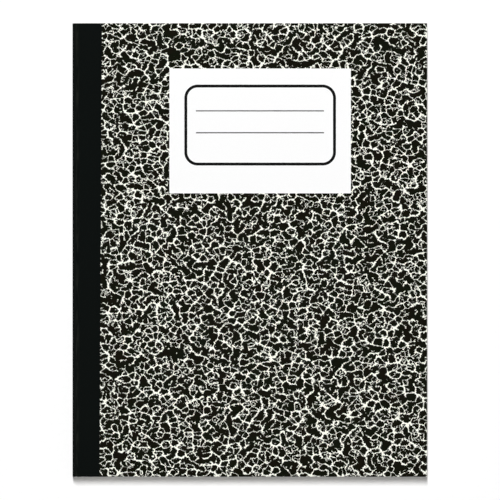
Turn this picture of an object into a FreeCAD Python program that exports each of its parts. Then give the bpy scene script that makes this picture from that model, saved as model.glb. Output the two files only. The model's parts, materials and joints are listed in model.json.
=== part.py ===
"""A sewn composition notebook, lying closed on its back cover.

The leaves are sheets folded once and sewn through the fold, together with one
sheet of cover board. A strip of tape covers the stitches and the folded board,
and laps onto both covers. Head, tail and fore edge are trimmed in one cut, so
the covers and the leaves end flush.

Millimetres. +X runs from the spine to the fore edge, +Y from the tail to the
head, and +Z is up through the front cover. The origin is at the middle of the
footprint, on the surface that the book lies on.
"""

import os

import FreeCAD
import Part

# Trimmed book
BOOK_LENGTH = 247.65  # head to tail, 9 3/4 in
BOOK_WIDTH = 193.7  # outer face of the taped spine to the fore edge
LEAVES = 100
LEAF_CALIPER = 0.084  # one leaf with the air that it holds

# Cover board and spine
BOARD_CALIPER = 0.76
COVER_AIR = 0.1  # between the board and the leaves
SPINE_FLAT = 2.1  # height of the flat stretch down the middle of the spine

# Tape
TAPE_CALIPER = 0.22
TAPE_PROUD = 0.08  # stands this far above the board that it is pressed into
TAPE_LAP = 15.5  # outer face of the spine to the edge of the tape, half-way along a cover
TAPE_SKEW = 1.3  # laid askew: the front lap is this much wider at the head than at the tail

# Creases that the covers turn on
CREASE_SET = 1.1  # from the end of the spine's round to the crease
CREASE_GAP = 0.3  # between what turns with a cover and what stays

# Sewing
THREAD = 0.4
THREAD_BEND_RADIUS = 0.4  # inside radius where a stitch turns into its hole
THREAD_CLEARANCE = 0.05
THREAD_SETBACK = 0.02  # outer run to the tape
STITCH_PITCH = 12.0
SEWN_MARGIN = 6.0  # least distance from the head or tail to the first hole

# Name label
LABEL_WIDTH = 99.1
LABEL_HEIGHT = 68.2
LABEL_CALIPER = 0.1
LABEL_FROM_SPINE = 53.0
LABEL_FROM_HEAD = 24.7

# Heights, outwards from the middle of the book's thickness
LEAVES_HALF = LEAVES * LEAF_CALIPER / 2
BOARD_INNER = LEAVES_HALF + COVER_AIR
BOARD_OUTER = BOARD_INNER + BOARD_CALIPER
HALF_THICKNESS = BOARD_OUTER + TAPE_PROUD
MIDDLE_Z = HALF_THICKNESS

# Depths, inwards from the outer face of the tape
BOARD_DEPTH = TAPE_CALIPER
BOARD_BACK_DEPTH = HALF_THICKNESS - BOARD_INNER
LEAVES_DEPTH = HALF_THICKNESS - LEAVES_HALF

# Places across the book
SPINE_X = -BOOK_WIDTH / 2
FORE_EDGE_X = BOOK_WIDTH / 2
SPINE_RADIUS = HALF_THICKNESS - SPINE_FLAT / 2
CREASE_X = SPINE_X + SPINE_RADIUS + CREASE_SET
FIXED_END_X = CREASE_X - CREASE_GAP / 2
COVER_START_X = CREASE_X + CREASE_GAP / 2
TAPE_EDGE_X = SPINE_X + TAPE_LAP
HEAD_Y = BOOK_LENGTH / 2


def full_length(face):
    """Extrudes a section drawn at the tail as far as the head."""
    return face.extrude(FreeCAD.Vector(0, BOOK_LENGTH, 0))


def point(x, height):
    """A point of a section at the tail, height measured from the middle."""
    return FreeCAD.Vector(x, -HEAD_Y, MIDDLE_Z + height)


def spine_face(depth, end_x):
    """The book's outline at a depth below the tape's face, as far as end_x.

    The spine's two rounds keep their centres, so each layer nests in the next.
    """
    half = HALF_THICKNESS - depth
    radius = SPINE_RADIUS - depth
    left = SPINE_X + depth
    round_end = left + radius
    bulge = radius * 0.5**0.5
    edges = []
    for side in (1, -1):
        flat_end = point(left, side * (half - radius))
        on_round = point(round_end - bulge, side * (half - radius + bulge))
        tangent = point(round_end, side * half)
        edges.append(Part.Arc(flat_end, on_round, tangent).toShape())
        edges.append(Part.LineSegment(tangent, point(end_x, side * half)).toShape())
    edges.append(Part.LineSegment(point(left, half - radius), point(left, radius - half)).toShape())
    edges.append(Part.LineSegment(point(end_x, half), point(end_x, -half)).toShape())
    return Part.Face(Part.Wire(Part.__sortEdges__(edges)))


def wrap(outer_depth, inner_depth, end_x):
    """A layer that wraps round the spine, open towards the fore edge."""
    outer = spine_face(outer_depth, end_x)
    inner = spine_face(inner_depth, end_x)
    return full_length(outer.cut(inner))


def slab(tail_x, head_x, height_from, height_to, side):
    """A flat layer of one cover, from its crease to an edge that may run askew.

    tail_x and head_x are where that edge ends at the tail and at the head. Side
    is 1 for the front cover and -1 for the back.
    """
    low = min(side * height_from, side * height_to)
    along = FreeCAD.Vector(0, BOOK_LENGTH, 0)
    crease_end = point(COVER_START_X, low)
    corners = [crease_end, point(tail_x, low), point(head_x, low) + along, crease_end + along]
    outline = Part.makePolygon(corners + corners[:1])
    return Part.Face(outline).extrude(FreeCAD.Vector(0, 0, abs(height_to - height_from)))


def under_tape(height_from, height_to, side):
    """A layer of one cover as far as the tape's edge.

    The tape is one straight strip, so the lap that it gains by its skew on one
    cover it loses on the other.
    """
    half_skew = side * TAPE_SKEW / 2
    return slab(TAPE_EDGE_X - half_skew, TAPE_EDGE_X + half_skew, height_from, height_to, side)


def stitch_places():
    """Places of the sewn holes along the book, evenly about its middle."""
    count = int((BOOK_LENGTH - 2 * SEWN_MARGIN) / STITCH_PITCH)
    first = -count * STITCH_PITCH / 2
    return [first + i * STITCH_PITCH for i in range(count + 1)]


def sewing(clearance):
    """A row of lock stitches grown by a clearance: two runs and a leg a hole.

    The outer run lies in the board's face under the tape, and the inner run
    in the fold of the middle sheet. A leg is the needle thread going in and
    coming back, so it is two threads wide. The press leaves the thread flat.
    """
    half = THREAD / 2 + clearance
    outer_x = SPINE_X + BOARD_DEPTH + THREAD_SETBACK + THREAD / 2
    inner_x = SPINE_X + LEAVES_DEPTH + LEAVES_HALF
    places = stitch_places()
    start = places[0] - THREAD - clearance
    run_length = places[-1] - places[0] + 2 * (THREAD + clearance)
    bars = []
    for x in (outer_x, inner_x):
        corner = FreeCAD.Vector(x - half, start, MIDDLE_Z - half)
        bars.append(Part.makeBox(2 * half, run_length, 2 * half, corner))
    for y in places:
        corner = FreeCAD.Vector(outer_x, y - THREAD - clearance, MIDDLE_Z - half)
        bars.append(Part.makeBox(inner_x - outer_x, 2 * (THREAD + clearance), 2 * half, corner))
    stitches = bars[0].fuse(bars[1:]).removeSplitter()
    return stitches.makeFillet(THREAD_BEND_RADIUS - clearance, inside_bends(stitches, half))


def inside_bends(stitches, half):
    """The upright edges where a leg meets a run, in each gap between legs."""
    box = stitches.BoundBox
    bends = []
    for edge in stitches.Edges:
        place = edge.CenterOfMass
        upright = abs(edge.BoundBox.ZLength - 2 * half) < half
        inside = box.XMin + half < place.x < box.XMax - half
        if upright and inside:
            bends.append(edge)
    return bends


def sewing_space():
    """The pierced holes, the groove pressed in the board and the fold's space."""
    space = sewing(THREAD_CLEARANCE)
    box = space.BoundBox
    groove_x = SPINE_X + BOARD_DEPTH
    corner = FreeCAD.Vector(groove_x, box.YMin, box.ZMin)
    groove = Part.makeBox(THREAD_SETBACK + THREAD / 2, box.YLength, box.ZLength, corner)
    return space.fuse(groove).removeSplitter()


def sewing_thread():
    return sewing(0)


def page_block():
    """All the leaves, folded round the spine and pierced for the thread."""
    return full_length(spine_face(LEAVES_DEPTH, FORE_EDGE_X)).cut(sewing_space())


def cover_spine():
    """The cover board's middle, folded round the leaves between the creases."""
    return wrap(BOARD_DEPTH, BOARD_BACK_DEPTH, FIXED_END_X).cut(sewing_space())


def cover(side):
    """One cover: a flat panel of board, rebated where the tape is pressed in."""
    panel = slab(FORE_EDGE_X, FORE_EDGE_X, BOARD_INNER, BOARD_OUTER, side)
    return panel.cut(under_tape(HALF_THICKNESS - BOARD_DEPTH, BOARD_OUTER, side))


def spine_tape():
    """The tape's middle, round the spine between the creases."""
    return wrap(0, TAPE_CALIPER, FIXED_END_X)


def tape_lap(side):
    """The tape's flat lap on one cover, which turns with it."""
    return under_tape(HALF_THICKNESS - TAPE_CALIPER, HALF_THICKNESS, side)


def name_label():
    """A paper label pasted flat on the front cover."""
    corner = FreeCAD.Vector(
        SPINE_X + LABEL_FROM_SPINE,
        HEAD_Y - LABEL_FROM_HEAD - LABEL_HEIGHT,
        MIDDLE_Z + BOARD_OUTER,
    )
    return Part.makeBox(LABEL_WIDTH, LABEL_HEIGHT, LABEL_CALIPER, corner)


def main():
    nodes = {
        "page_block": page_block(),
        "sewing_thread": sewing_thread(),
        "cover_spine": cover_spine(),
        "spine_tape": spine_tape(),
        "front_cover": cover(1),
        "front_tape_lap": tape_lap(1),
        "name_label": name_label(),
        "back_cover": cover(-1),
        "back_tape_lap": tape_lap(-1),
    }
    os.makedirs("parts", exist_ok=True)
    for name, shape in nodes.items():
        shape.exportStep(f"parts/{name}.step")


main()
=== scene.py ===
"""A sewn composition notebook, lying closed on a white table and seen from straight above.

Metres, in the frame's axes: +X runs from the spine to the fore edge, +Y from the tail to the head,
and +Z up through the front cover. Leaves, cover board and tape are layers folded round the spine:
one formula gives all their sections, and they differ in depth, thickness and finish. The materials
work in millimetres.
"""

import json
import math

import bpy
import numpy as np
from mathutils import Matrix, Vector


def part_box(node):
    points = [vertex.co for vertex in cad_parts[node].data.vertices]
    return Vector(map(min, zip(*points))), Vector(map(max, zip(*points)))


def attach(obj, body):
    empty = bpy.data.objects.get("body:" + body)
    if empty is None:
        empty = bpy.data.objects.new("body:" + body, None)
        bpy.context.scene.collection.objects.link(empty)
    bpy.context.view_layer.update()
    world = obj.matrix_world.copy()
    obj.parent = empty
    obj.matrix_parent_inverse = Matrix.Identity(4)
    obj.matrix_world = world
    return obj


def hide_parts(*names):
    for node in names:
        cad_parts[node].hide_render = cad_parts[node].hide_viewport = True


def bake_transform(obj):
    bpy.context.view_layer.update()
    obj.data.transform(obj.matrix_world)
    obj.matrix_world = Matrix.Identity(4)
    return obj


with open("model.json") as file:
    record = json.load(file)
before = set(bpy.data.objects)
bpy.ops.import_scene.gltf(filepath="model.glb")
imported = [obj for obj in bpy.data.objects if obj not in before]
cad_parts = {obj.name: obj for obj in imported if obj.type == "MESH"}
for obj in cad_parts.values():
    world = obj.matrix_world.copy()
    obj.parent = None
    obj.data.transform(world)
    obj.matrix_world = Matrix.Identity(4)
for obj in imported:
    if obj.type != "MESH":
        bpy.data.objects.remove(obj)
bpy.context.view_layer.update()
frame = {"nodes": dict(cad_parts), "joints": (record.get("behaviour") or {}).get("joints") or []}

# The leaves: 50 sheets of white writing paper, ruled, folded once, nested, pierced for the thread
# and pressed, then cut flush with the cover at head, tail and fore edge. The outermost sheet is a
# piece of its own, because its first and last page show when a cover opens.
MM = 0.001
SHEETS = 50
SHEET_CALIPER = 0.072 * MM
PRESSED_PITCH = 0.078 * MM  # sheet to sheet at the fold, where the stitches hold out the air
PRESSED_TO = 1.7 * MM  # the air is back this far beyond the middle sheet's fold
TIGHTEST_FOLD = 0.03 * MM
FOLD_STEPS = 5  # of a sheet's grid round its quarter turn
SPINE_FLAT = 2.1 * MM
ON_FLAT = 0.95  # share of the flat's half height that the grid's stops stay within
TRIM_WANDER = 0.12 * MM
TRIM_SEED = 11
STITCH_PITCH = 12.0 * MM
THREAD = 0.4 * MM
THREAD_CLEARANCE = 0.05 * MM

tape_low, tape_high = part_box("spine_tape")
leaves_low, leaves_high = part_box("page_block")
thread_low, thread_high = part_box("sewing_thread")
spine_x = tape_low.x
fore_edge_x = leaves_high.x
tail_y = leaves_low.y
head_y = leaves_high.y
middle_z = (tape_low.z + tape_high.z) / 2
half_thickness = (tape_high.z - tape_low.z) / 2
spine_radius = half_thickness - SPINE_FLAT / 2
leaves_half = (leaves_high.z - leaves_low.z) / 2
leaves_depth = half_thickness - leaves_half
loose_pitch = leaves_half / SHEETS
crease_x = frame["joints"][0]["pos_m"][0]

first_hole = thread_low.y + THREAD
last_hole = thread_high.y - THREAD
holes = np.linspace(first_hole, last_hole, round((last_hole - first_hole) / STITCH_PITCH) + 1)
hole_half_length = THREAD + THREAD_CLEARANCE
hole_half_height = THREAD / 2 + THREAD_CLEARANCE
hole_rows = np.stack([holes - hole_half_length, holes + hole_half_length], axis=1).ravel()


def half_section(flat_x, flat_depth, fold_depth, steps, stops):
    """Half of a layer's section at each row, from the fore edge to the middle of the spine.

    Depths are measured inwards from the tape's outer face. The layer runs along the flat through
    flat_x at half_thickness less flat_depth, then round a quarter circle of the spine's radius
    less fold_depth, in equal steps of turn, so that layers nest about one centre. Past that
    centre the fold is as tight as paper allows. Last it stands on the spine's flat, with a column
    at each of the heights in stops. Returns x and height from the middle, as (column, row).
    """
    radius = np.maximum(spine_radius - fold_depth, TIGHTEST_FOLD)
    upright = half_thickness - fold_depth - radius
    left = spine_x + fold_depth
    turn = np.linspace(0, math.pi / 2, steps + 1)[:, None]
    round_x = left + radius * (1 - np.sin(turn))
    round_height = upright + radius * np.cos(turn)
    stop_height = np.minimum(np.array(stops)[:, None], ON_FLAT * upright)
    x = np.concatenate([flat_x, round_x, np.broadcast_to(left, stop_height.shape)])
    height = np.concatenate([half_thickness - flat_depth, round_height, stop_height])
    return x, height


def points(x, y, height, side=1):
    """Places of a grid, height being measured from the middle of the book on one side of it."""
    return np.stack([x, np.broadcast_to(y, x.shape), middle_z + side * height], axis=-1)


def share_along(grid, axis):
    """How far along the grid each point lies, by distance, as a share of the whole length."""
    steps = np.linalg.norm(np.diff(grid, axis=axis), axis=-1)
    start = np.zeros_like(np.take(steps, [0], axis=axis))
    run = np.concatenate([start, np.cumsum(steps, axis=axis)], axis=axis)
    return run / np.take(run, [-1], axis=axis)


MAP_GAP = 0.01  # between the areas of a piece's bake map
STRIP_INSET = 0.1  # share of a strip's width that stays free on either side
SHARP_TURN = math.radians(35)  # faces that turn by more than this meet in a sharp edge


def shell(name, outer, inner, solid, finishes, face_share):
    """A closed sheet, or a stack of closed sheets, between two grids of points, as one object.

    The grids are (sheet, column, row, place), with columns from the front round to the back and
    rows from tail to head. Each cell that solid marks gives a face on either side, and each edge
    between it and an opening, or the outside, gives a face across the thickness. finishes are the
    materials of the outer side, the inner side and the cut edges. On the bake's map the outer side
    takes face_share of the width, the inner side half of what is left, and the cut edges the
    rest, in one upright strip for each of a sheet's four edges.
    """
    sheets, columns, rows = outer.shape[:3]
    count = sheets * columns * rows
    number = np.arange(count).reshape(sheets, columns, rows)
    corners = [number[:, :-1, :-1], number[:, :-1, 1:], number[:, 1:, 1:], number[:, 1:, :-1]]
    padded = np.pad(solid, 1)
    beside = [padded[:-2, 1:-1], padded[1:-1, 2:], padded[2:, 1:-1], padded[1:-1, :-2]]
    along = share_along(outer, 1).ravel()
    across = share_along(outer, 2).ravel()

    outer_faces = np.stack([corner[:, solid] for corner in corners], axis=-1).reshape(-1, 4)
    outer_map = np.stack([face_share * along[outer_faces], across[outer_faces]], axis=-1)
    inner_faces = outer_faces[:, ::-1]
    inner_start = face_share + MAP_GAP
    inner_width = (1 - face_share) / 2 - 2 * MAP_GAP
    inner_u = inner_start + inner_width * along[inner_faces]
    inner_map = np.stack([inner_u, across[inner_faces]], axis=-1)
    faces = [outer_faces, inner_faces + count]
    maps = [outer_map, inner_map]

    edge_start = inner_start + inner_width + MAP_GAP
    strip = (1 - edge_start) / (4 * sheets)
    in_strip = np.array([STRIP_INSET, STRIP_INSET, 1 - STRIP_INSET, 1 - STRIP_INSET])
    sheet = np.arange(sheets)[:, None]
    for edge in range(4):
        cut = solid & ~beside[edge]
        start = corners[edge][:, cut]
        stop = corners[(edge + 1) % 4][:, cut]
        wall = np.stack([stop, start, start + count, stop + count], axis=-1)
        length = across if edge % 2 == 0 else along
        v = length[np.stack([stop, start, start, stop], axis=-1)]
        u = edge_start + strip * (4 * sheet + edge + in_strip[:, None, None])
        u = np.broadcast_to(np.moveaxis(u, 0, -1), v.shape)
        faces.append(wall.reshape(-1, 4))
        maps.append(np.stack([u, v], axis=-1).reshape(-1, 4, 2))
    kind = np.repeat([0, 1, 2], [len(faces[0]), len(faces[1]), sum(map(len, faces[2:]))])

    mesh = bpy.data.meshes.new(name)
    places = np.concatenate([outer.reshape(-1, 3), inner.reshape(-1, 3)])
    mesh.from_pydata(places.tolist(), [], np.concatenate(faces).tolist())
    for finish in finishes:
        mesh.materials.append(finish)
    mesh.polygons.foreach_set("material_index", kind.astype(np.int32))
    bake_map = mesh.uv_layers.new(name="OFBake")
    bake_map.uv.foreach_set("vector", np.concatenate(maps).astype(np.float32).ravel())
    mesh.shade_smooth()
    mesh.set_sharp_from_angle(angle=SHARP_TURN)
    made = bpy.data.objects.new(name, mesh)
    bpy.context.collection.objects.link(made)
    return made


def linear(hex_colour):
    """An sRGB hex colour as the linear values that Blender's sockets take."""
    parts = np.array([int(hex_colour[i:i + 2], 16) for i in (1, 3, 5)]) / 255
    light = np.where(parts <= 0.04045, parts / 12.92, ((parts + 0.055) / 1.055) ** 2.4)
    return (*light.tolist(), 1.0)


def node(tree, kind, inputs=None, **settings):
    """Adds a shader node with its settings.

    Each input is a value, a socket to link from, or a node, which stands for its first output.
    """
    made = tree.nodes.new("ShaderNode" + kind)
    for name, value in settings.items():
        setattr(made, name, value)
    for name, value in (inputs or {}).items():
        if isinstance(value, bpy.types.Node):
            value = next(output for output in value.outputs if output.enabled)
        if isinstance(value, bpy.types.NodeSocket):
            tree.links.new(value, made.inputs[name])
        else:
            made.inputs[name].default_value = value
    return made


def new_finish(name):
    """An empty material, its node tree, and the place on the object in millimetres."""
    finish = bpy.data.materials.new(name)
    finish.use_nodes = True
    tree = finish.node_tree
    tree.nodes.clear()
    place = node(tree, "TexCoord").outputs["Object"]
    mm = node(tree, "VectorMath", {0: place, 1: (1 / MM, 1 / MM, 1 / MM)}, operation="MULTIPLY")
    return finish, tree, mm


FIBRE_IOR = 1.5  # of paper, cotton, starch and printing ink


def surface(tree, colour, roughness, height, relief_mm, **sockets):
    """Ends a material: one Principled shader, with height standing relief_mm proud as a bump."""
    bump = node(tree, "Bump", {"Height": height, "Distance": relief_mm * MM, "Strength": 1.0})
    shading = {"Base Color": colour, "Roughness": roughness, "Normal": bump, "IOR": FIBRE_IOR}
    shading.update({name.replace("_", " "): value for name, value in sockets.items()})
    shader = node(tree, "BsdfPrincipled", shading)
    node(tree, "OutputMaterial", {"Surface": shader})


RULE_BLUE = "#8fb2d6"
RULE_PITCH = 8.73  # mm, 11/32 in, the wide ruling of school paper
RULE_WIDTH = 0.3
PRINT_SOFT = 0.04  # mm to either side of a printed edge over which the ink fades
HEAD_MARGIN = 31.75
FOOT_MARGIN = 9.0


def line_ramp(width):
    """Settings that turn the distance to a printed line's middle into 1 on it and 0 off it."""
    on = width / 2 - PRINT_SOFT
    off = width / 2 + PRINT_SOFT
    return {"From Min": on, "From Max": off, "To Min": 1.0, "To Max": 0.0}


def rule_lines(tree, y):
    """1 on the ruled lines and 0 between: lines a pitch apart, from the head margin to the foot."""
    from_head = node(tree, "Math", {0: head_y / MM - HEAD_MARGIN, 1: y}, operation="SUBTRACT")
    off_line = node(tree, "Math", {0: from_head, 1: RULE_PITCH / 2}, operation="PINGPONG")
    line = node(tree, "MapRange", {"Value": off_line, **line_ramp(RULE_WIDTH)})
    last_line = (head_y - tail_y) / MM - HEAD_MARGIN - FOOT_MARGIN
    below_head = node(tree, "Math", {0: from_head, 1: -RULE_WIDTH}, operation="GREATER_THAN")
    above_foot = node(tree, "Math", {0: from_head, 1: last_line}, operation="LESS_THAN")
    on_page = node(tree, "Math", {0: below_head, 1: above_foot}, operation="MULTIPLY")
    return node(tree, "Math", {0: line, 1: on_page}, operation="MULTIPLY")


PAPER = "#f4f2ea"
PAPER_CLOUD = "#ebe8de"
CLOUDS_PER_MM = 0.5
TOOTH_PER_MM = 3.0  # real fibres are 0.02 mm thick, drawn coarser so that they show
MARGIN_RED = "#dd8b92"
SIDE_MARGIN = 31.75
NOISE_SPAN = {"From Min": 0.3, "From Max": 0.7}  # nearly all of a noise's values lie in here
NOISE_CORE = {"From Min": 0.35, "From Max": 0.65}  # and most of them in here


def ruled_writing_paper():
    """Uncoated wood-free paper: matt, with faint clouds of fibre, pale blue rules and a red margin.

    The margin is at the left of each page: by the fold on the first page, which shows from above,
    and by the fore edge on the last one, which shows from below.
    """
    finish, tree, mm = new_finish("ruled_writing_paper")
    clouds = {"Vector": mm, "Scale": CLOUDS_PER_MM, "Detail": 4.0, "Roughness": 0.6}
    share = node(tree, "MapRange", {"Value": node(tree, "TexNoise", clouds), **NOISE_CORE})
    shades = {"Factor": share, "A": linear(PAPER_CLOUD), "B": linear(PAPER)}
    paper = node(tree, "Mix", shades, data_type="RGBA")

    place = node(tree, "SeparateXYZ", {"Vector": mm})
    over_middle = {0: place.outputs["Z"], 1: middle_z / MM}
    first_page = node(tree, "Math", over_middle, operation="GREATER_THAN")
    first_margin = leaves_low.x / MM + SIDE_MARGIN
    last_margin = fore_edge_x / MM - SIDE_MARGIN
    margins = {"Value": first_page, "To Min": last_margin, "To Max": first_margin}
    margin_x = node(tree, "MapRange", margins)
    aside = node(tree, "Math", {0: place.outputs["X"], 1: margin_x}, operation="SUBTRACT")
    off_margin = node(tree, "Math", {0: aside}, operation="ABSOLUTE")
    margin = node(tree, "MapRange", {"Value": off_margin, **line_ramp(RULE_WIDTH)})
    rules = rule_lines(tree, place.outputs["Y"])
    blue = {"Factor": rules, "A": paper, "B": linear(RULE_BLUE)}
    ruled = node(tree, "Mix", blue, data_type="RGBA")
    red = {"Factor": margin, "A": ruled, "B": linear(MARGIN_RED)}
    colour = node(tree, "Mix", red, data_type="RGBA")

    fibres = {"Vector": mm, "Scale": TOOTH_PER_MM, "Detail": 3.0, "Roughness": 0.6}
    tooth = node(tree, "TexNoise", fibres)
    matt = {"Value": tooth, **NOISE_SPAN, "To Min": 0.82, "To Max": 0.95}
    roughness = node(tree, "MapRange", matt)
    surface(tree, colour, roughness, tooth, relief_mm=0.02, Specular_IOR_Level=0.3)
    return finish


STREAKS_PER_MM = (0.03, 0.03, 3.0)  # across, along and up the book
STREAK_SPAN = {"From Min": 0.38, "From Max": 0.62}
TICK_STRENGTH = 0.45  # of a rule's blue where the cut goes through it


def trimmed_paper_edge():
    """Leaves cut in one stroke: matt white, streaked where leaves differ and by painted shade
    between them.

    A leaf is 0.08 mm thick, too fine to show, so a streak is drawn as wide as four leaves. Where
    a rule runs off the page its blue shows as a tick, fainter than on the page.
    """
    finish, tree, mm = new_finish("trimmed_paper_edge")
    stretched = node(tree, "VectorMath", {0: mm, 1: STREAKS_PER_MM}, operation="MULTIPLY")
    streaks = {"Vector": stretched, "Scale": 1.0, "Detail": 3.0, "Roughness": 0.7}
    streak = node(tree, "TexNoise", streaks)
    share = node(tree, "MapRange", {"Value": streak, **STREAK_SPAN})
    # The darker shade is partly painted shade in the gaps between leaves.
    shades = {"Factor": share, "A": linear("#cdc9be"), "B": linear("#f3f1e9")}
    paper = node(tree, "Mix", shades, data_type="RGBA")
    place = node(tree, "SeparateXYZ", {"Vector": mm})
    ticks = {0: rule_lines(tree, place.outputs["Y"]), 1: TICK_STRENGTH}
    tick = node(tree, "Math", ticks, operation="MULTIPLY")
    blue = {"Factor": tick, "A": paper, "B": linear(RULE_BLUE)}
    colour = node(tree, "Mix", blue, data_type="RGBA")
    matt = 0.9
    surface(tree, colour, matt, streak, relief_mm=0.05, Specular_IOR_Level=0.3)
    return finish


paper_face = ruled_writing_paper()
paper_edge = trimmed_paper_edge()
leaf_rows = np.concatenate([[tail_y], hole_rows, [head_y]])
wander = np.random.default_rng(TRIM_SEED)


def folded_sheet(order):
    """The outer and inner grid of one folded sheet, the order-th from the outside.

    At the fold sheets lie a pressed pitch apart, and a little way along the flat they are back at
    the loose pitch. Each of the two leaves ends up to the trim's wander short of the fore edge.
    """
    fore_edges = fore_edge_x - TRIM_WANDER * wander.random((2, leaf_rows.size)) * (order > 0)
    tail_trim, head_trim = TRIM_WANDER * wander.random(2) * (order > 0)
    y = np.clip(leaf_rows, tail_y + tail_trim, head_y - head_trim)
    grids = []
    for thickness in (0, SHEET_CALIPER):
        loose = leaves_depth + order * loose_pitch + thickness
        pressed = leaves_depth + order * PRESSED_PITCH + thickness
        loose_x = leaves_low.x + leaves_half + PRESSED_TO
        pressed_x = leaves_low.x + leaves_half + THREAD
        stops = (hole_half_height, 0)
        halves = []
        for side, fore_edge in zip((1, -1), fore_edges):
            flat_x = np.stack([fore_edge, np.full_like(y, loose_x), np.full_like(y, pressed_x)])
            flat_depth = np.repeat([[loose], [loose], [pressed]], y.size, axis=1)
            fold_depth = np.full_like(y, pressed)
            x, height = half_section(flat_x, flat_depth, fold_depth, FOLD_STEPS, stops)
            halves.append(points(x, y, height, side))
        grids.append(np.concatenate([halves[0], halves[1][-2::-1]]))
    return grids


leaf_grids = np.array([folded_sheet(order) for order in range(SHEETS)])
leaf_outer, leaf_inner = leaf_grids[:, 0], leaf_grids[:, 1]
middle_column = leaf_grids.shape[2] // 2
leaf_solid = np.ones((leaf_grids.shape[2] - 1, leaf_rows.size - 1), bool)
leaf_solid[middle_column - 1:middle_column + 1, 1::2] = False
paper = (paper_face, paper_face, paper_edge)
outer_sheet = shell(
    "outer_sheet", leaf_outer[:1], leaf_inner[:1], leaf_solid, paper, face_share=0.6
)
nested_sheets = shell(
    "nested_sheets", leaf_outer[1:], leaf_inner[1:], leaf_solid, paper, face_share=0.1
)
for sheets in (outer_sheet, nested_sheets):
    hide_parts("page_block")
    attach(sheets, "book_block")

# The sewing: one row of lock stitches in white cotton thread, through the fold of all the sheets
# and the cover board together. It is pressed flat under the tape, so it shows only from the ends
# of a stitch hole; the solid from the CAD is the whole of it.
TWIST_PITCH = 0.5  # mm along the thread for one turn of its plies
PLY_SLANT = (0.6, 0.0, 0.6)  # radians
WAVE_PITCH = 2 * math.pi / 20  # mm; at a scale of 1 the wave texture turns 20 radians a unit
FUZZ_PER_MM = 6.0


def cotton_thread():
    """Mercerised cotton: off-white, its plies twisted, which gives slanting ridges."""
    finish, tree, mm = new_finish("cotton_thread")
    slant = node(tree, "Mapping", {"Vector": mm, "Rotation": PLY_SLANT})
    twist = {"Vector": slant, "Scale": WAVE_PITCH / TWIST_PITCH, "Distortion": 1.0}
    ply = node(tree, "TexWave", twist, bands_direction="Y").outputs["Fac"]
    shades = {"Factor": ply, "A": linear("#cfc9ba"), "B": linear("#efebdf")}
    colour = node(tree, "Mix", shades, data_type="RGBA")
    fuzz = node(tree, "TexNoise", {"Vector": mm, "Scale": FUZZ_PER_MM, "Detail": 3.0})
    matt = {"Value": fuzz, **NOISE_SPAN, "To Min": 0.7, "To Max": 0.9}
    roughness = node(tree, "MapRange", matt)
    surface(tree, colour, roughness, ply, relief_mm=0.04, Sheen_Weight=0.2)
    return finish


thread = frame["nodes"]["sewing_thread"]
thread.data.materials.clear()
thread.data.materials.append(cotton_thread())

# The cover board: one sheet of grey chipboard for both covers and the spine between them, with a
# black and white marbled paper printed on its outer face and white paper on its inner one. It is
# folded round the leaves, sewn with them, pressed in under the tape, and turns on two creases.
BOARD_CALIPER = 0.76 * MM
TAPE_CALIPER = 0.22 * MM
TAPE_PROUD = 0.08 * MM
CUT_ROUND = 0.12 * MM  # how far the guillotine's pressure rounds the printed edge
ROUNDING = np.array([0.0, 0.13, 0.5, 1.0])  # where a rounded edge has rows, as shares of its radius
BEND_REACH = 0.9 * MM  # the crease bends this far to either side of its hinge
BEND_COLUMNS = 15
ROUND_STEPS = 10  # of the board's and the tape's grid round their quarter turn
GROOVE = 0.47 * MM  # how deep the outer run of thread is pressed into the board
GROOVE_WALL = 0.02 * MM

tape_edges = {}
for side, lap in ((1, "front_tape_lap"), (-1, "back_tape_lap")):
    lap_points = np.array([v.co for v in frame["nodes"][lap].data.vertices])
    at_tail = lap_points[lap_points[:, 1] < 0, 0].max()
    at_head = lap_points[lap_points[:, 1] > 0, 0].max()
    tape_edges[side] = (at_tail, at_head)

crush_places = CUT_ROUND * ROUNDING
board_rows = np.concatenate([tail_y + crush_places, hole_rows, head_y - crush_places[::-1]])
groove_rows = (board_rows >= hole_rows[0]) & (board_rows <= hole_rows[-1])
bend_x = np.linspace(crease_x + BEND_REACH, crease_x - BEND_REACH, BEND_COLUMNS)


def rounded_off(distance, radius):
    """How far a face falls away this near to an edge that is rounded to a quarter circle."""
    inside = np.clip(radius - distance, 0, radius)
    return radius - np.sqrt(radius**2 - inside**2)


def tape_edge_x(side, rows):
    """Where the tape's skewed edge lies on one cover at each row, straight from tail to head."""
    at_tail, at_head = tape_edges[side]
    return at_tail + (at_head - at_tail) * (rows - tail_y) / (head_y - tail_y)


def board_half(side):
    """The outer and inner grid of the board from one fore edge to the middle of the spine.

    The outer face lies the tape's pride below the tape's face, and drops to its back in a step
    along the tape's skewed edge. Along the cuts it is rounded off. Down the middle of the spine
    it falls in by the groove that the thread is pressed into.
    """
    each_row = np.zeros((1, board_rows.size))
    fore_x = fore_edge_x - crush_places[:, None] + each_row
    step_x = np.stack([tape_edge_x(side, board_rows)] * 2)
    flat_x = np.concatenate([fore_x, step_x, bend_x[:, None] + each_row])
    printed = np.arange(len(flat_x))[:, None] <= len(fore_x)
    end_fall = rounded_off(np.minimum(board_rows - tail_y, head_y - board_rows), CUT_ROUND)
    fore_fall = rounded_off(fore_edge_x - flat_x, CUT_ROUND)
    outer_depth = np.where(printed, TAPE_PROUD, TAPE_CALIPER) + np.maximum(end_fall, fore_fall)
    stops = (hole_half_height + GROOVE_WALL, hole_half_height, 0)
    x, height = half_section(flat_x, outer_depth, TAPE_CALIPER + end_fall, ROUND_STEPS, stops)
    x[-2:, groove_rows] += GROOVE
    outer = points(x, board_rows, height, side)
    back_depth = np.full_like(flat_x, TAPE_PROUD + BOARD_CALIPER)
    x, height = half_section(flat_x, back_depth, back_depth[0], ROUND_STEPS, stops)
    inner = points(x, board_rows, height, side)
    return outer, inner


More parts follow.
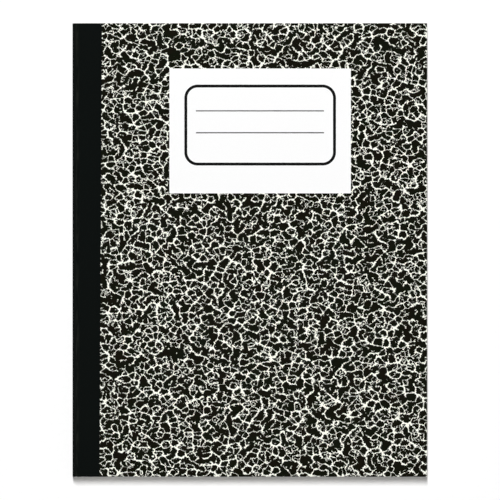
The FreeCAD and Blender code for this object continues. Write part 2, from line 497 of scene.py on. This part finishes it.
CURLS = (  # of each noise: its scale per mm, its detail, and the mm between its two extremes
    (0.65, 2.0, 2.1),
    (2.1, 1.0, 0.8),
)
NOISE_MIDDLE = (0.5, 0.5, 0.5)
# Of each network: its drops' size and its veins' half width in mm, its shift in mm and its turn in
# radians, and the share of its veins that is left out.
COARSE_VEINS = (3.15, 0.148, (0.0, 0.0, 3.0), 0.65, 0.28)
FINE_VEINS = (1.7, 0.125, (31.0, 7.0, 12.0), 0.2, 0.40)
DROP_STRETCH = (0.85, 1.0, 1.0)  # drops are wider than they are tall
PAIR_SPREAD = 7.31  # the sum of two drops' numbers times this has an evenly spread fraction
VEIN_SOFT = 0.01
BREAKS_PER_MM = 0.65
BREAK_SPAN = {"From Min": 0.34, "From Max": 0.50}  # a vein is gone at one and whole at the other
CORNER_SPAN = {"From Min": 0.5, "From Max": 0.75}  # shares of a drop's size from its middle
CORNER_FILL = 0.105  # share of a drop's size by which a vein widens there


def veins(tree, place, size, half_width, shift, turn, merged):
    """1 on a network of veins and 0 in its drops, which are about size across.

    A vein is a line where two drops meet. The sum of the two drops' random numbers is the same
    all along it, and veins whose sum falls in the merged share are left out, so that drops run
    together. Noise narrows the veins, from half_width to nothing across BREAK_SPAN, and far from
    the middle of its drop, in the corners where veins meet, a vein widens.
    """
    turned = {"Vector": place, "Location": shift, "Rotation": (0.0, 0.0, turn)}
    moved = node(tree, "Mapping", {**turned, "Scale": DROP_STRETCH})
    drops = {"Vector": moved, "Scale": 1 / size, "Randomness": 1.0}
    meeting = node(tree, "TexVoronoi", drops, feature="DISTANCE_TO_EDGE", voronoi_dimensions="2D")
    off_line = node(tree, "Math", {0: meeting, 1: size}, operation="MULTIPLY")

    own_drop = node(tree, "TexVoronoi", drops, feature="F1", voronoi_dimensions="2D")
    next_drop = node(tree, "TexVoronoi", drops, feature="F2", voronoi_dimensions="2D")
    own_number = node(tree, "SeparateColor", {"Color": own_drop.outputs["Color"]})
    next_number = node(tree, "SeparateColor", {"Color": next_drop.outputs["Color"]})
    pair = node(tree, "Math", {0: own_number, 1: next_number}, operation="ADD")
    spread = node(tree, "Math", {0: pair, 1: PAIR_SPREAD}, operation="MULTIPLY")
    number = node(tree, "Math", {0: spread}, operation="FRACT")
    kept = node(tree, "Math", {0: number, 1: merged}, operation="GREATER_THAN")

    ebbing = {"Vector": moved, "Scale": BREAKS_PER_MM, "Detail": 2.0, "Roughness": 0.6}
    widths = {"Value": node(tree, "TexNoise", ebbing), **BREAK_SPAN, "To Max": half_width}
    narrowed = node(tree, "MapRange", widths)
    corner = {"Value": own_drop, **CORNER_SPAN, "To Max": CORNER_FILL * size}
    filled = node(tree, "MapRange", corner)
    half = node(tree, "Math", {0: narrowed, 1: filled}, operation="ADD")
    full = node(tree, "Math", {0: half, 1: VEIN_SOFT}, operation="SUBTRACT")
    gone = node(tree, "Math", {0: half, 1: VEIN_SOFT}, operation="ADD")
    ramp = {"Value": off_line, "From Min": full, "From Max": gone, "To Min": 1.0, "To Max": 0.0}
    line = node(tree, "MapRange", ramp)
    return node(tree, "Math", {0: line, 1: kept}, operation="MULTIPLY")


CREAM = "#fefff4"
GREEN_INK = "#10130a"
BROWN_INK = "#13110a"
INK_DRIFTS_PER_MM = 0.12
INK_DRIFT_SPAN = {"From Min": 0.4, "From Max": 0.6}
FINE_PATCHES_PER_MM = 0.33
FINE_PATCH_EDGE = {"From Min": 0.57, "From Max": 0.59}
BOARD_TOOTH_PER_MM = 1.2


def marbled_print():
    """Offset print of a marbled pattern on smooth paper: near-black ink broken by cream veins.

    Real marbling spreads drops of colour until they meet in veins. Two networks of veins, one of
    drops about 3 mm across and one of 2 mm in patches, are curled by noise and broken at places.
    The ink drifts between a greener and a browner black. It is a little smoother than the bare
    paper in the veins, and both have the board's tooth.
    """
    finish, tree, mm = new_finish("marbled_print")
    curled = mm
    for scale, detail, reach in CURLS:
        noise = {"Vector": mm, "Scale": scale, "Detail": detail, "Roughness": 0.6}
        curls = {0: node(tree, "TexNoise", noise).outputs["Color"], 1: NOISE_MIDDLE}
        centred = node(tree, "VectorMath", curls, operation="SUBTRACT")
        reaching = {0: centred, 1: (reach, reach, reach)}
        shift = node(tree, "VectorMath", reaching, operation="MULTIPLY")
        curled = node(tree, "VectorMath", {0: curled, 1: shift}, operation="ADD")
    coarse = veins(tree, curled, *COARSE_VEINS)
    fine = veins(tree, curled, *FINE_VEINS)
    patches = node(tree, "TexNoise", {"Vector": mm, "Scale": FINE_PATCHES_PER_MM, "Detail": 1.0})
    in_patch = node(tree, "MapRange", {"Value": patches, **FINE_PATCH_EDGE})
    fine_patch = node(tree, "Math", {0: fine, 1: in_patch}, operation="MULTIPLY")
    bare = node(tree, "Math", {0: coarse, 1: fine_patch}, operation="MAXIMUM")

    drift = node(tree, "TexNoise", {"Vector": mm, "Scale": INK_DRIFTS_PER_MM, "Detail": 3.0})
    browner = node(tree, "MapRange", {"Value": drift, **INK_DRIFT_SPAN})
    inks = {"Factor": browner, "A": linear(GREEN_INK), "B": linear(BROWN_INK)}
    ink = node(tree, "Mix", inks, data_type="RGBA")
    colour = node(tree, "Mix", {"Factor": bare, "A": ink, "B": linear(CREAM)}, data_type="RGBA")
    bumps = {"Vector": mm, "Scale": BOARD_TOOTH_PER_MM, "Detail": 4.0, "Roughness": 0.6}
    tooth = node(tree, "TexNoise", bumps)
    roughness = node(tree, "MapRange", {"Value": bare, "To Min": 0.7, "To Max": 0.8})
    surface(tree, colour, roughness, tooth, relief_mm=0.02, Specular_IOR_Level=0.01)
    return finish


FIBRES_PER_MM = (0.5, 0.5, 7.0)  # across, along and up the book
FLECKS_PER_MM = 4.0
FLECK_SPAN = {"From Min": 0.62, "From Max": 0.70}  # only the noise's peaks
FLECK_SHADE = 0.5


def chipboard_edge():
    """Grey chipboard cut by a guillotine: matt, with flattened fibres that lie along the board."""
    finish, tree, mm = new_finish("chipboard_edge")
    stretched = node(tree, "VectorMath", {0: mm, 1: FIBRES_PER_MM}, operation="MULTIPLY")
    fibres = {"Vector": stretched, "Scale": 1.0, "Detail": 4.0, "Roughness": 0.65}
    fibre = node(tree, "TexNoise", fibres)
    share = node(tree, "MapRange", {"Value": fibre, **NOISE_CORE})
    shades = {"Factor": share, "A": linear("#6f695e"), "B": linear("#9f988a")}
    grey = node(tree, "Mix", shades, data_type="RGBA")
    fleck = node(tree, "TexNoise", {"Vector": mm, "Scale": FLECKS_PER_MM, "Detail": 2.0})
    flecks = node(tree, "MapRange", {"Value": fleck, **FLECK_SPAN, "To Max": FLECK_SHADE})
    darker = {"Factor": flecks, "A": grey, "B": linear("#5a564e")}
    colour = node(tree, "Mix", darker, data_type="RGBA")
    matt = 0.92
    surface(tree, colour, matt, fibre, relief_mm=0.06, Specular_IOR_Level=0.2)
    return finish


LINER_CLOUDS_PER_MM = 0.35
LINER_TOOTH_PER_MM = 2.0


def cover_liner():
    """White liner paper, calendered: nearly smooth, a shade greyer than the leaves."""
    finish, tree, mm = new_finish("cover_liner")
    clouds = {"Vector": mm, "Scale": LINER_CLOUDS_PER_MM, "Detail": 5.0, "Roughness": 0.6}
    share = node(tree, "MapRange", {"Value": node(tree, "TexNoise", clouds), **NOISE_CORE})
    shades = {"Factor": share, "A": linear("#e1ded4"), "B": linear("#e7e4da")}
    colour = node(tree, "Mix", shades, data_type="RGBA")
    tooth = node(tree, "TexNoise", {"Vector": mm, "Scale": LINER_TOOTH_PER_MM, "Detail": 3.0})
    smooth = {"Value": tooth, **NOISE_SPAN, "To Min": 0.7, "To Max": 0.85}
    roughness = node(tree, "MapRange", smooth)
    surface(tree, colour, roughness, tooth, relief_mm=0.008, Specular_IOR_Level=0.3)
    return finish


board_finishes = (marbled_print(), cover_liner(), chipboard_edge())
halves = {1: "front", -1: "back"}
for side, half in halves.items():
    outer, inner = board_half(side)
    solid = np.ones((outer.shape[0] - 1, outer.shape[1] - 1), bool)
    solid[-1, len(crush_places):-len(crush_places):2] = False
    if side < 0:
        outer, inner, solid = outer[::-1], inner[::-1], solid[::-1]
    name = "cover_board_" + half
    board = shell(name, outer[None], inner[None], solid, board_finishes, face_share=0.8)
    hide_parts(half + "_cover", "cover_spine")
    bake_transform(board)

# The tape: one strip of black book cloth backed with paper, glued round the spine over the
# stitches and on to both covers, and pressed into the board, which it stands a hair above. It was
# laid slightly askew. Its cut edges are pressed thin.
TAPE_EDGE_ROUND = 0.06 * MM
TAPE_STEPS = 8  # of its grid from tail to head, besides the rows of its rounded ends
CLOTH_THREAD = 0.45  # mm; real threads are 0.3 mm apart, drawn coarser so that the grain shows
SLUBS_PER_MM = 0.8
# A painted highlight along the spine's round: a greyer band, in patches drawn out lengthwise.
SHEEN_AT = 2.6  # mm in from the spine's outer face, on the round, where the painted highlight runs
SHEEN_HALF_WIDTH = 1.5
SHEEN_PATCHES_PER_MM = (0.7, 0.09, 0.7)  # across, along and up the book
SHEEN_SPAN = {"From Min": 0.42, "From Max": 0.62}
SHEEN_STRENGTH = 0.5
PAINTED_SHEEN_GREY = "#272a25"


def bookcloth():
    """Starch-filled cotton book cloth, dyed black: dull, with a fine even weave filled level.

    Along the spine's round a painted highlight lightens it to a grey, in patches drawn out
    lengthwise.
    """
    finish, tree, mm = new_finish("black_bookcloth")
    threads = {"Vector": mm, "Scale": WAVE_PITCH / CLOTH_THREAD, "Distortion": 0.6}
    warp = node(tree, "TexWave", threads, bands_direction="X").outputs["Fac"]
    weft = node(tree, "TexWave", threads, bands_direction="Y").outputs["Fac"]
    weave = node(tree, "Math", {0: warp, 1: weft}, operation="ADD")
    slubs = {"Vector": mm, "Scale": SLUBS_PER_MM, "Detail": 3.0, "Roughness": 0.6}
    dye = node(tree, "MapRange", {"Value": node(tree, "TexNoise", slubs), **NOISE_SPAN})
    shades = {"Factor": dye, "A": linear("#050807"), "B": linear("#080c0b")}
    dyed = node(tree, "Mix", shades, data_type="RGBA")

    # The painted highlight: a grey band along the spine's round, in lengthwise patches.
    place = node(tree, "SeparateXYZ", {"Vector": mm})
    from_band = {0: place.outputs["X"], 1: spine_x / MM + SHEEN_AT}
    inwards = node(tree, "Math", from_band, operation="SUBTRACT")
    off_round = node(tree, "Math", {0: inwards}, operation="ABSOLUTE")
    fading = {"Value": off_round, "From Max": SHEEN_HALF_WIDTH, "To Min": 1.0, "To Max": 0.0}
    sheen_band = node(tree, "MapRange", fading)
    drawn_out = node(tree, "VectorMath", {0: mm, 1: SHEEN_PATCHES_PER_MM}, operation="MULTIPLY")
    sheen_noise = {"Vector": drawn_out, "Scale": 1.0, "Detail": 4.0, "Roughness": 0.6}
    sheen_ramp = {"Value": node(tree, "TexNoise", sheen_noise), **SHEEN_SPAN, "To Max": SHEEN_STRENGTH}
    patches = node(tree, "MapRange", sheen_ramp)
    painted_sheen = node(tree, "Math", {0: sheen_band, 1: patches}, operation="MULTIPLY")
    with_sheen = {"Factor": painted_sheen, "A": dyed, "B": linear(PAINTED_SHEEN_GREY)}
    colour = node(tree, "Mix", with_sheen, data_type="RGBA")
    roughness = node(tree, "MapRange", {"Value": dye, "To Min": 0.72, "To Max": 0.85})
    surface(tree, colour, roughness, weave, relief_mm=0.012, Specular_IOR_Level=0.035)
    return finish


cloth = bookcloth()
tape_places = TAPE_EDGE_ROUND * ROUNDING
between = np.linspace(tail_y, head_y, TAPE_STEPS + 1)[1:-1]
tape_rows = np.concatenate([tail_y + tape_places, between, head_y - tape_places[::-1]])
for side, half in halves.items():
    edge_x = tape_edge_x(side, tape_rows)
    columns_x = np.broadcast_to(bend_x[:, None], (BEND_COLUMNS, tape_rows.size))
    flat_x = np.concatenate([edge_x - tape_places[:, None], columns_x])
    end_fall = rounded_off(np.minimum(tape_rows - tail_y, head_y - tape_rows), TAPE_EDGE_ROUND)
    edge_fall = rounded_off(edge_x - flat_x, TAPE_EDGE_ROUND)
    fall = np.maximum(edge_fall, end_fall)
    x, height = half_section(flat_x, fall, end_fall, ROUND_STEPS, (0,))
    outer = points(x, tape_rows, height, side)
    glued = np.full_like(flat_x, TAPE_CALIPER)
    x, height = half_section(flat_x, glued, glued[0], ROUND_STEPS, (0,))
    inner = points(x, tape_rows, height, side)
    if side < 0:
        outer, inner = outer[::-1], inner[::-1]
    solid = np.ones((outer.shape[0] - 1, outer.shape[1] - 1), bool)
    tape = shell("tape_" + half, outer[None], inner[None], solid, (cloth,) * 3, face_share=0.8)
    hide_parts(half + "_tape_lap", "spine_tape")
    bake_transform(tape)

# The name label: smooth white paper printed in black, with a frame round it and two lines to
# write on, pasted flat on the front cover. Pressing thins its edges.
FRAME_SIDE = 8.95  # mm from the label's left and right edges to the middle of the frame's line
FRAME_TOP = 9.6
FRAME_BOTTOM = 16.0
FRAME_LINE = 1.6
FRAME_CORNER = 6.5
WRITING_LINE = 0.58
WRITING_FROM = 14.5  # mm from the label's left edge
WRITING_TO = 84.4
WRITING_DOWN = (23.15, 35.1)  # mm from its top
ANY_HEIGHT = 1e6  # mm, so that the frame doesn't depend on how high the paper lies
LABEL_TOOTH_PER_MM = 2.5
LABEL_EDGE_PRESSED = 0.04 * MM
LABEL_PRESSED_IN = 0.6 * MM  # how far in from its edges the paper is pressed thinner

label_low, label_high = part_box("name_label")


def printed_label():
    """Coated label paper, offset printed: white, smooth and slightly lustrous, with black lines.

    The frame is where the distance to a rectangle with rounded corners is under half a line.
    """
    finish, tree, mm = new_finish("printed_label")
    left, right = label_low.x / MM, label_high.x / MM
    bottom, top = label_low.y / MM, label_high.y / MM
    half_width = (right - left) / 2 - FRAME_SIDE
    half_height = (top - bottom - FRAME_TOP - FRAME_BOTTOM) / 2
    centre = ((left + right) / 2, bottom + FRAME_BOTTOM + half_height, 0.0)
    reach = (half_width - FRAME_CORNER, half_height - FRAME_CORNER, ANY_HEIGHT)
    aside = node(tree, "VectorMath", {0: mm, 1: centre}, operation="SUBTRACT")
    folded = node(tree, "VectorMath", {0: aside}, operation="ABSOLUTE")
    beyond = node(tree, "VectorMath", {0: folded, 1: reach}, operation="SUBTRACT")
    outside = node(tree, "VectorMath", {0: beyond, 1: (0.0, 0.0, 0.0)}, operation="MAXIMUM")
    from_core = node(tree, "VectorMath", {0: outside}, operation="LENGTH")
    parts = node(tree, "SeparateXYZ", {"Vector": beyond})
    deeper = node(tree, "Math", {0: parts.outputs["X"], 1: parts.outputs["Y"]}, operation="MAXIMUM")
    within = node(tree, "Math", {0: deeper, 1: 0.0}, operation="MINIMUM")
    to_core = node(tree, "Math", {0: from_core, 1: within}, operation="ADD")
    to_line = node(tree, "Math", {0: to_core, 1: FRAME_CORNER}, operation="SUBTRACT")
    off_frame = node(tree, "Math", {0: to_line}, operation="ABSOLUTE")
    ink = node(tree, "MapRange", {"Value": off_frame, **line_ramp(FRAME_LINE)})

    place = node(tree, "SeparateXYZ", {"Vector": mm})
    line_middle = left + (WRITING_FROM + WRITING_TO) / 2
    line_reach = (WRITING_TO - WRITING_FROM) / 2
    along = {0: place.outputs["X"], 1: line_middle, 2: line_reach}
    on_length = node(tree, "Math", along, operation="COMPARE")
    for down in WRITING_DOWN:
        aside = node(tree, "Math", {0: place.outputs["Y"], 1: top - down}, operation="SUBTRACT")
        off_line = node(tree, "Math", {0: aside}, operation="ABSOLUTE")
        line = node(tree, "MapRange", {"Value": off_line, **line_ramp(WRITING_LINE)})
        written = node(tree, "Math", {0: line, 1: on_length}, operation="MULTIPLY")
        ink = node(tree, "Math", {0: ink, 1: written}, operation="MAXIMUM")

    tooth = node(tree, "TexNoise", {"Vector": mm, "Scale": LABEL_TOOTH_PER_MM, "Detail": 3.0})
    share = node(tree, "MapRange", {"Value": tooth, **NOISE_SPAN})
    shades = {"Factor": share, "A": linear("#fcfcfc"), "B": linear("#ffffff")}
    white = node(tree, "Mix", shades, data_type="RGBA")
    printed = {"Factor": ink, "A": white, "B": linear("#040404")}
    colour = node(tree, "Mix", printed, data_type="RGBA")
    roughness = node(tree, "MapRange", {"Value": share, "To Min": 0.55, "To Max": 0.65})
    surface(tree, colour, roughness, tooth, relief_mm=0.008, Specular_IOR_Level=0.05)
    return finish


inset = LABEL_PRESSED_IN * np.array([0.0, 0.25, 1.0])
label_x = np.concatenate([label_high.x - inset, label_low.x + inset[::-1]])
label_y = np.concatenate([label_low.y + inset, label_high.y - inset[::-1]])
to_side = np.minimum(label_x - label_low.x, label_high.x - label_x)[:, None]
to_end = np.minimum(label_y - label_low.y, label_high.y - label_y)[None, :]
from_full = np.clip(1 - np.minimum(to_side, to_end) / LABEL_PRESSED_IN, 0, 1)
pressed = LABEL_EDGE_PRESSED * from_full**2
label_columns = np.broadcast_to(label_x[:, None], pressed.shape)
label_top = points(label_columns, label_y, label_high.z - middle_z - pressed)
label_under = points(label_columns, label_y, np.full_like(pressed, label_low.z - middle_z))
solid = np.ones((label_x.size - 1, label_y.size - 1), bool)
coated = (printed_label(),) * 3
label = shell("ruled_label", label_top[None], label_under[None], solid, coated, face_share=0.9)
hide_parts("name_label")
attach(label, "front_cover")

# The table: a wide sheet of matt white card under the book. It keeps the book's shadow, and where
# the light falls on it fully it reads as the photograph's white.
TABLE_HALF = 6.0
TABLE_BELOW = 0.02 * MM  # keeps the card's surface clear of the tape's underside
TABLE_GLOW = 0.02
CARD_TOOTH_PER_MM = 0.5


def background_rays(tree):
    """1 for rays that see a background: straight from the camera, mirrored, or through glass."""
    rays = node(tree, "LightPath").outputs
    direct = {0: rays["Is Camera Ray"], 1: rays["Is Glossy Ray"]}
    seen = node(tree, "Math", direct, operation="MAXIMUM")
    return node(tree, "Math", {0: seen, 1: rays["Is Transmission Ray"]}, operation="MAXIMUM")


def white_card():
    """Matt white card, lit by the lamps.

    For rays that see it as a background it is a little whiter.
    """
    finish, tree, mm = new_finish("white_card")
    tooth = node(tree, "TexNoise", {"Vector": mm, "Scale": CARD_TOOTH_PER_MM, "Detail": 3.0})
    share = node(tree, "MapRange", {"Value": tooth, **NOISE_SPAN})
    shades = {"Factor": share, "A": linear("#fcfcfc"), "B": linear("#fefefe")}
    shade = node(tree, "Mix", shades, data_type="RGBA")
    matt = node(tree, "BsdfDiffuse", {"Color": shade, "Roughness": 0.5})
    glow = node(tree, "Math", {0: background_rays(tree), 1: TABLE_GLOW}, operation="MULTIPLY")
    light = node(tree, "Emission", {"Color": linear("#ffffff"), "Strength": glow})
    both = node(tree, "AddShader", {0: matt, 1: light})
    node(tree, "OutputMaterial", {"Surface": both})
    return finish


table_mesh = bpy.data.meshes.new("table")
table_signs = ((-1, -1), (1, -1), (1, 1), (-1, 1))
table_corners = [(x * TABLE_HALF, y * TABLE_HALF, -TABLE_BELOW) for x, y in table_signs]
table_mesh.from_pydata(table_corners, [], [(0, 1, 2, 3)])
table_mesh.materials.append(white_card())
table = bpy.data.objects.new("table", table_mesh)
bpy.context.collection.objects.link(table)

# The light: a long soft lamp high over the head of the book, which throws the shadow at its tail, a
# faint wide one over the spine side, and a white room that fills in. Together they light a flat
# white surface to white and no more.
LAMP_HEIGHT = 5.0
LAMPS = {  # place across and along, width and length, watts
    "key_lamp": (-0.15, 1.7, 0.45, 2.25, 231.0),
    "side_lamp": (-0.5, -0.2, 1.0, 0.3, 36.0),
}
ROOM_FILL = 0.07

for name, (x, y, width, length, watts) in LAMPS.items():
    lamp_data = bpy.data.lights.new(name, "AREA")
    lamp_data.shape = "ELLIPSE"
    lamp_data.size = width
    lamp_data.size_y = length
    lamp_data.energy = watts
    lamp = bpy.data.objects.new(name, lamp_data)
    lamp.location = (x, y, LAMP_HEIGHT)
    lamp.rotation_euler = (-math.atan2(y, LAMP_HEIGHT), 0.0, 0.0)
    bpy.context.collection.objects.link(lamp)

room = bpy.data.worlds.new("white_room")
room.use_nodes = True
bpy.context.scene.world = room
room_tree = room.node_tree
room_tree.nodes.clear()
fill = {"Value": background_rays(room_tree), "To Min": ROOM_FILL, "To Max": 1.0}
strength = node(room_tree, "MapRange", fill)
background = node(room_tree, "Background", {"Color": linear("#ffffff"), "Strength": strength})
node(room_tree, "OutputWorld", {"Surface": background})

# The camera: straight above the middle of the book, far enough off for almost no perspective, and
# turned so that the head of the book is at the top of the picture.
LENS = 600.0
SENSOR = 36.0
VIEW_WIDTH = 0.27305  # of the square picture, at the height of the front cover
CAMERA_ASIDE = 0.00016  # from the book's middle towards the fore edge

camera_data = bpy.data.cameras.new("camera")
camera_data.lens = LENS
camera_data.sensor_width = SENSOR
camera = bpy.data.objects.new("camera", camera_data)
camera.location = (CAMERA_ASIDE, 0.0, tape_high.z + VIEW_WIDTH * LENS / SENSOR)
bpy.context.collection.objects.link(camera)
bpy.context.scene.camera = camera
bpy.context.scene.view_settings.view_transform = "Standard"
